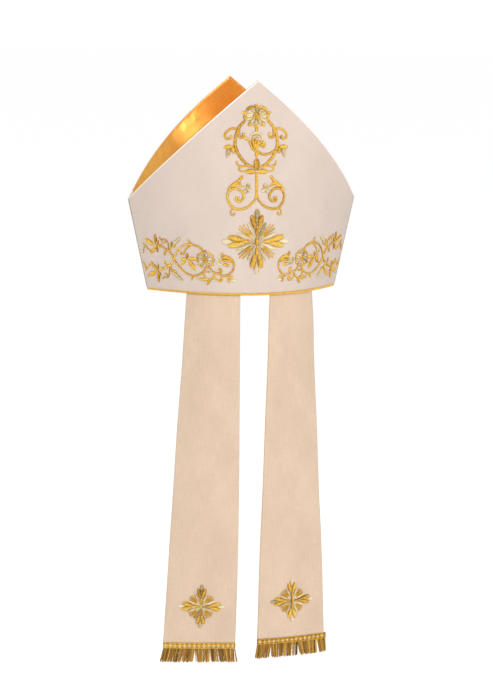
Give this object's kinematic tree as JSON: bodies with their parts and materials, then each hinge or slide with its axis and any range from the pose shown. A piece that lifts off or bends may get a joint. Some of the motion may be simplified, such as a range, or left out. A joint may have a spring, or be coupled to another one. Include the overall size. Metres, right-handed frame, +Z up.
{
  "type": "bishop mitre with lappets",
  "caption": "Stiff cloth mitre with two pointed horns, a satin fold between them, embroidered scrolls and crosses, a cord round the rim and fringed lappets hanging behind.",
  "frame": {"origin": "centre of the rim opening, in the plane of the panels' lower edges, where the mitre sits on a head", "axes": "+Z up to the horns, -Y the back with the lappets, +X along the side creases"},
  "size_m": [0.292, 0.1512, 0.7308],
  "materials": {
    "cloth": "matte plain weave",
    "lappet_cloth": "matte plain weave",
    "satin": "glossy satin",
    "gold_thread": "metallic thread",
    "silver_thread": "metallic thread",
    "bullion": "metallic thread"
  },
  "bodies": {
    "root": {"back_panel": "cloth", "front_panel": "cloth", "satin_gusset": "satin", "rim_cord": "gold_thread", "lappet_left": "lappet_cloth", "lappet_right": "lappet_cloth", "braid_left": "gold_thread", "braid_right": "gold_thread", "fringe_left": "bullion", "fringe_right": "bullion"}
  },
  "joints": []
}
